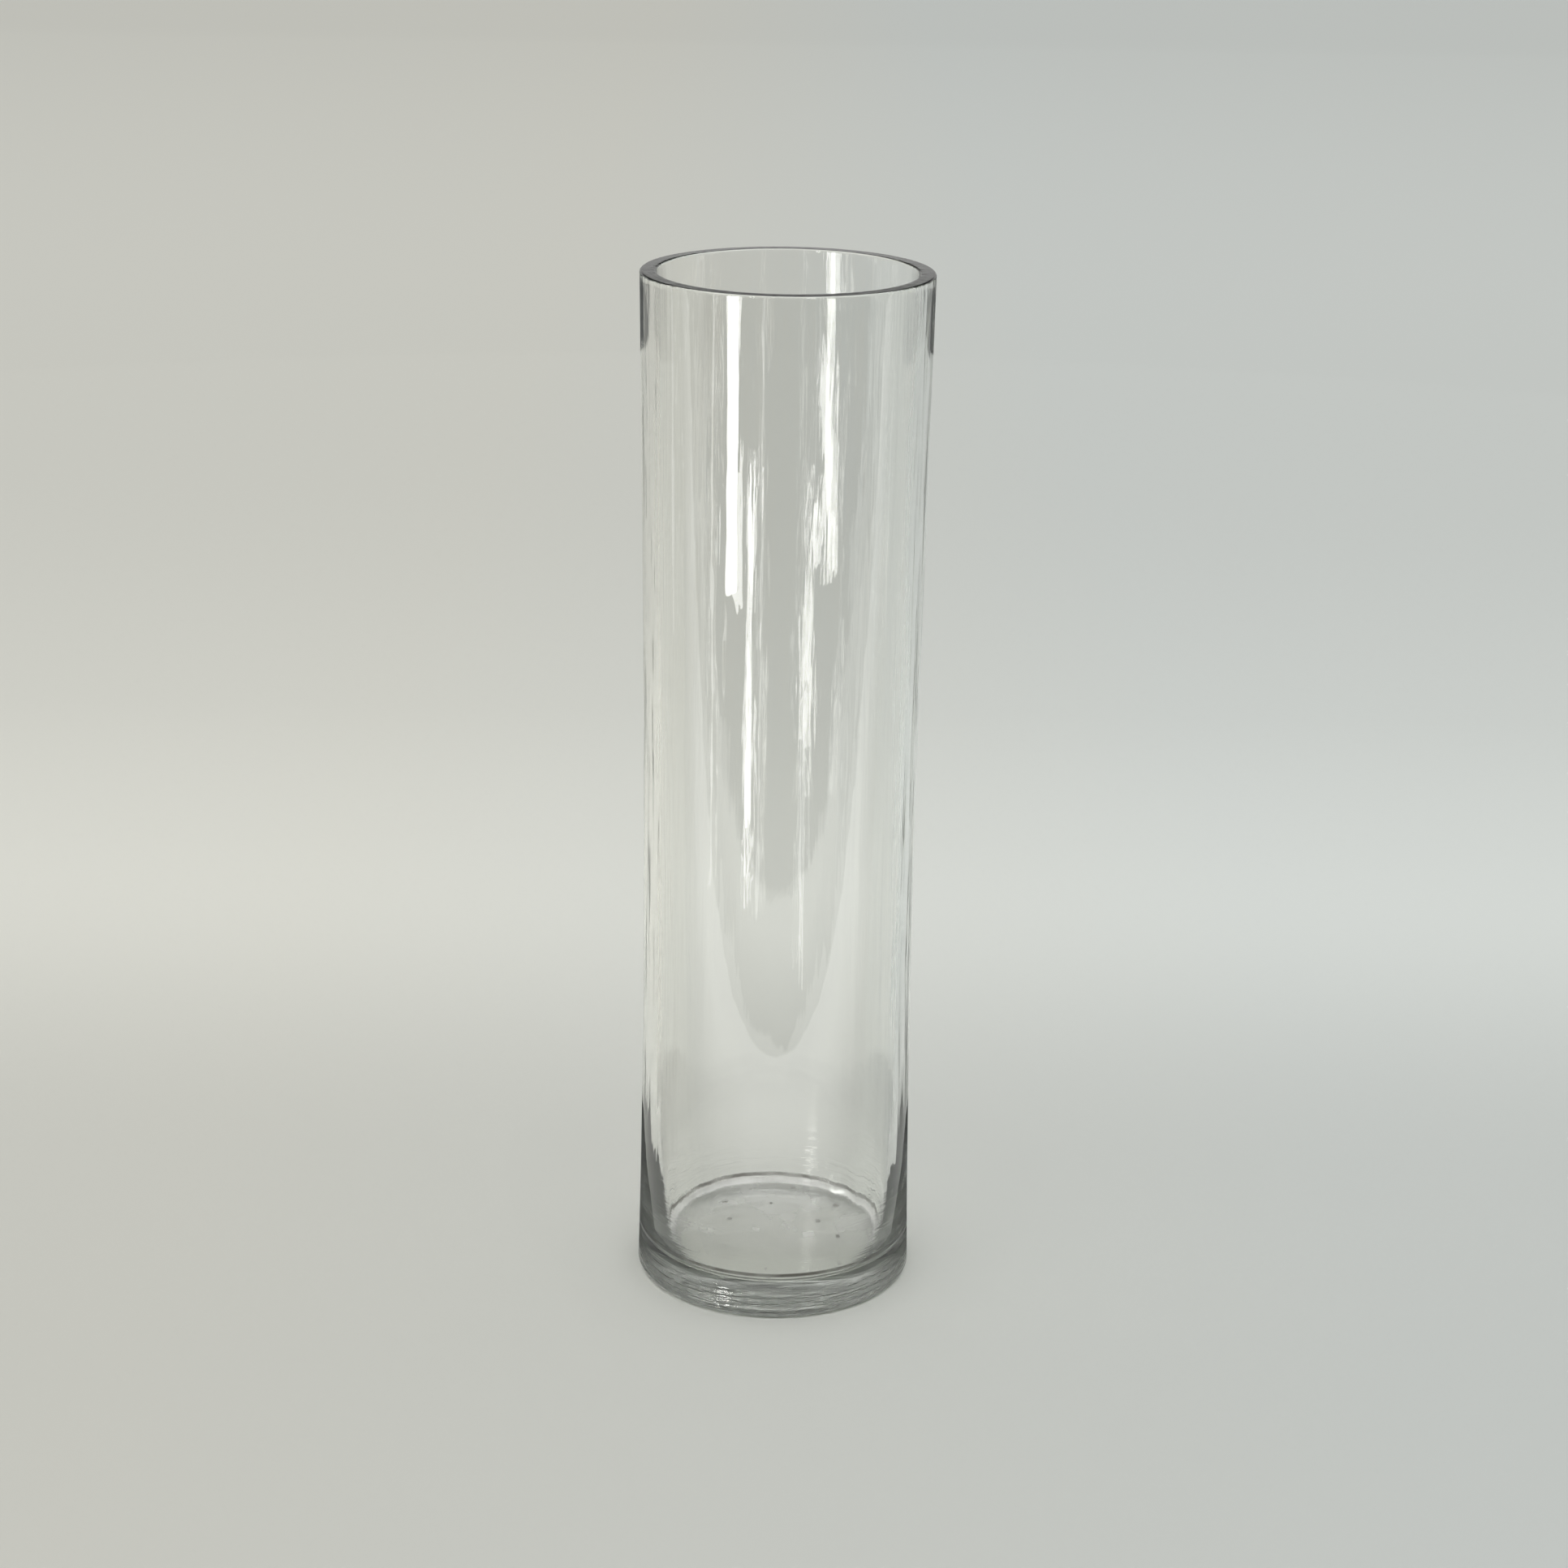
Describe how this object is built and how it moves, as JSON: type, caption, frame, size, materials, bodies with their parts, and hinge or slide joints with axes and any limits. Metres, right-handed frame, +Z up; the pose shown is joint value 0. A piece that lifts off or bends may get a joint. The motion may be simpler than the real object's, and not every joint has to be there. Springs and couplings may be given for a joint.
{
  "type": "glass cylinder vase",
  "caption": "Tall clear glass cylinder vase with a thick solid base, a rounded heel and an open, flat polished rim.",
  "frame": {"origin": "middle of the foot, on the surface that the vase stands on", "axes": "+Z up the vase's axis, from the foot to the rim; X and Y are alike"},
  "size_m": [0.11, 0.11, 0.404],
  "materials": {
    "clear_glass": "clear polished soda-lime glass with a slight grey-green cast, a little wavy and lightly scuffed"
  },
  "bodies": {
    "root": {"base_slab": "clear_glass", "floor_corner_ring": "clear_glass", "cylinder_wall": "clear_glass", "rim_ring": "clear_glass"}
  },
  "joints": []
}
